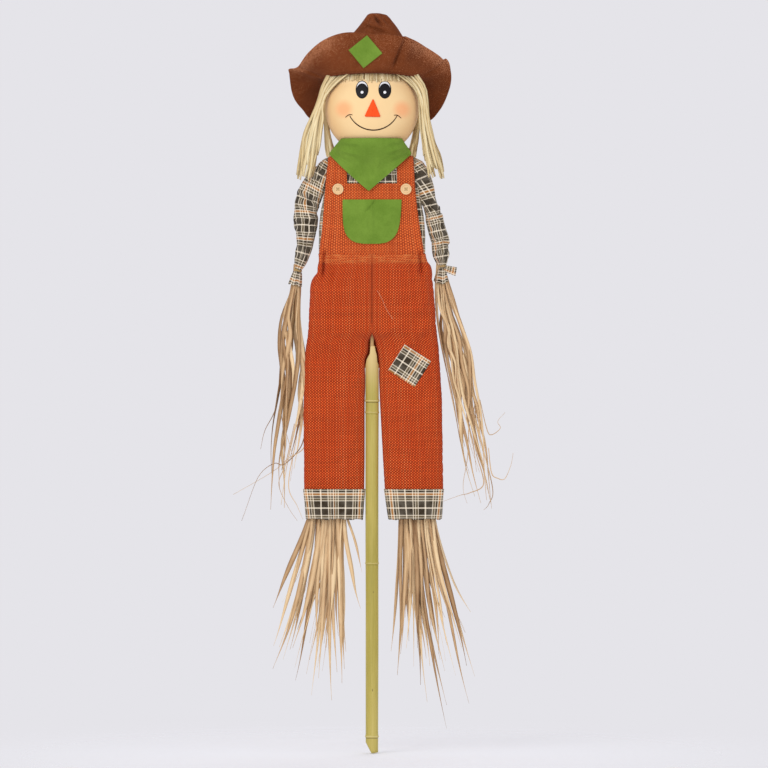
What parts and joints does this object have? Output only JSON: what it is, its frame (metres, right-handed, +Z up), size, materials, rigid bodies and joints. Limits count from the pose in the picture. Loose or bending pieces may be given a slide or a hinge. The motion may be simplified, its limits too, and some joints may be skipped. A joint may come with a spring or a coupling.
{
  "type": "scarecrow figure on a pole",
  "caption": "Stuffed cloth scarecrow with a felt hat, check shirt, burlap overalls and raffia hands and feet, held up on a bamboo pole.",
  "frame": {"origin": "on the pole's axis, at the lower face of its lowest node, where the pointed foot of the pole begins", "axes": "+Z up along the pole, the figure faces -Y, its own left side is +X"},
  "size_m": [0.4654, 0.1652, 1.22],
  "materials": {
    "bamboo": "smooth yellow-green bamboo with raised nodes",
    "stick_wood": "plain turned wood stick",
    "tie_wire": "thin steel tie wire",
    "thread": "cotton thread",
    "stuffing": "polyester fibre filling",
    "plaid": "woven check cotton, grey-brown, cream and ochre",
    "burlap": "open plain-weave jute burlap dyed orange red",
    "green_felt": "needle felt, leaf green",
    "orange_felt": "needle felt, orange red",
    "brown_felt": "stiff needle felt, chestnut brown",
    "head_foam": "expanded foam ball",
    "face_cloth": "smooth knitted cloth with a printed face",
    "raffia": "dry raffia straw",
    "button_wood": "turned wooden four-hole button"
  },
  "bodies": {
    "pole": {"bamboo_pole": "bamboo"},
    "figure": {"spine_stick": "stick_wood", "shoulder_bar": "stick_wood", "bar_tie_wire": "tie_wire", "neck_tie": "thread", "torso_stuffing": "stuffing", "shirt_body": "plaid", "overalls_bib": "burlap", "bib_pocket": "green_felt", "trousers_seat": "burlap", "seat_stuffing": "stuffing", "neck_scarf": "green_felt", "head_ball": "head_foam", "face_cover": "face_cloth", "nose": "orange_felt", "hair_fringe": "raffia", "hat_crown": "brown_felt", "hat_brim": "brown_felt", "hat_patch": "green_felt", "button_left": "button_wood", "hair_left": "raffia", "button_right": "button_wood", "hair_right": "raffia"},
    "arm_left": {"sleeve_left": "plaid", "arm_padding_left": "stuffing", "wrist_tie_left": "thread"},
    "hand_left": {"sleeve_ruffle_left": "plaid", "straw_hand_left": "raffia", "stray_straw_left": "raffia"},
    "leg_left": {"trouser_leg_left": "burlap", "leg_padding_left": "stuffing", "leg_cuff_left": "plaid", "knee_patch": "plaid"},
    "foot_left": {"straw_foot_left": "raffia"},
    "arm_right": {"sleeve_right": "plaid", "arm_padding_right": "stuffing", "wrist_tie_right": "thread"},
    "hand_right": {"sleeve_ruffle_right": "plaid", "straw_hand_right": "raffia", "stray_straw_right": "raffia"},
    "leg_right": {"trouser_leg_right": "burlap", "leg_padding_right": "stuffing", "leg_cuff_right": "plaid"},
    "foot_right": {"straw_foot_right": "raffia"}
  },
  "joints": [
    {"name": "figure_lift", "type": "slide", "parent": "pole", "child": "figure", "axis": [0, 0, 1], "range_m": [0, 0.09]},
    {"name": "shoulder_left", "type": "hinge", "parent": "figure", "child": "arm_left", "pos_m": [0.087, 0, 0.941], "axis": [0, -1, 0], "range_deg": [0, 95]},
    {"name": "wrist_left", "type": "hinge", "parent": "arm_left", "child": "hand_left", "pos_m": [0.1125, 0, 0.78], "axis": [-1, 0, 0], "range_deg": [-35, 35]},
    {"name": "hip_left", "type": "hinge", "parent": "figure", "child": "leg_left", "pos_m": [0.0623, 0.005, 0.664], "axis": [-1, 0, 0], "range_deg": [-35, 85]},
    {"name": "ankle_left", "type": "hinge", "parent": "leg_left", "child": "foot_left", "pos_m": [0.069, 0.005, 0.361], "axis": [-1, 0, 0], "range_deg": [-30, 30]},
    {"name": "shoulder_right", "type": "hinge", "parent": "figure", "child": "arm_right", "pos_m": [-0.087, 0, 0.941], "axis": [0, 1, 0], "range_deg": [0, 95]},
    {"name": "wrist_right", "type": "hinge", "parent": "arm_right", "child": "hand_right", "pos_m": [-0.1235, 0, 0.771], "axis": [-1, 0, 0], "range_deg": [-35, 35]},
    {"name": "hip_right", "type": "hinge", "parent": "figure", "child": "leg_right", "pos_m": [-0.0623, 0.005, 0.664], "axis": [-1, 0, 0], "range_deg": [-35, 85]},
    {"name": "ankle_right", "type": "hinge", "parent": "leg_right", "child": "foot_right", "pos_m": [-0.063, 0.005, 0.361], "axis": [-1, 0, 0], "range_deg": [-30, 30]}
  ]
}
